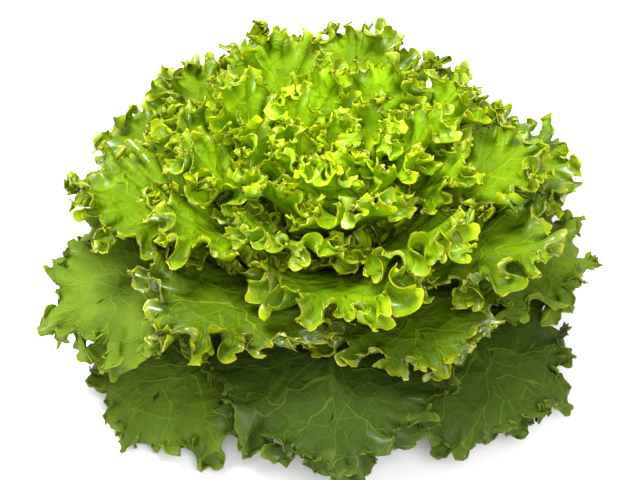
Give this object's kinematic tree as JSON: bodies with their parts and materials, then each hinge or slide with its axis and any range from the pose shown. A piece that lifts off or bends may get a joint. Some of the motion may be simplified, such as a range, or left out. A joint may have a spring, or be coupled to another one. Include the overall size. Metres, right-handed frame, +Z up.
{
  "type": "green leaf lettuce",
  "caption": "Whole head of loose-leaf lettuce with frilled leaves round a short stem, cut flat at the butt, which it stands on.",
  "frame": {"origin": "middle of the flat cut face of the butt, on the surface that the head stands on", "axes": "+Z up along the stem, from the cut butt to the heart; -Y towards the side that the picture shows"},
  "size_m": [0.2823, 0.3001, 0.124],
  "materials": {
    "stem": "moist pale green cut stem",
    "heart_leaf": "waxy yellow-green young leaf",
    "bright_leaf": "waxy bright green leaf, paler veins, yellow edge",
    "outer_leaf": "waxy dark green leaf, pale net of veins"
  },
  "bodies": {
    "root": {"stem": "stem", "heart": "heart_leaf", "leaf_11": "bright_leaf", "leaf_12": "bright_leaf", "leaf_13": "bright_leaf", "leaf_14": "bright_leaf", "leaf_15": "bright_leaf", "leaf_16": "bright_leaf", "leaf_17": "bright_leaf", "leaf_18": "bright_leaf", "leaf_19": "bright_leaf", "leaf_20": "bright_leaf", "leaf_21": "bright_leaf", "leaf_22": "bright_leaf", "leaf_23": "bright_leaf", "leaf_24": "bright_leaf", "leaf_25": "bright_leaf", "leaf_26": "bright_leaf", "leaf_27": "bright_leaf", "leaf_28": "bright_leaf", "leaf_29": "bright_leaf", "leaf_30": "bright_leaf", "leaf_31": "bright_leaf", "leaf_32": "bright_leaf", "leaf_33": "bright_leaf", "leaf_34": "bright_leaf", "leaf_35": "bright_leaf", "leaf_36": "bright_leaf", "leaf_37": "bright_leaf", "leaf_38": "bright_leaf", "leaf_39": "bright_leaf", "leaf_40": "bright_leaf", "leaf_41": "outer_leaf", "leaf_42": "outer_leaf", "leaf_43": "outer_leaf", "leaf_44": "outer_leaf", "leaf_45": "outer_leaf", "leaf_46": "outer_leaf", "leaf_47": "outer_leaf", "leaf_48": "outer_leaf", "leaf_49": "outer_leaf"}
  },
  "joints": []
}
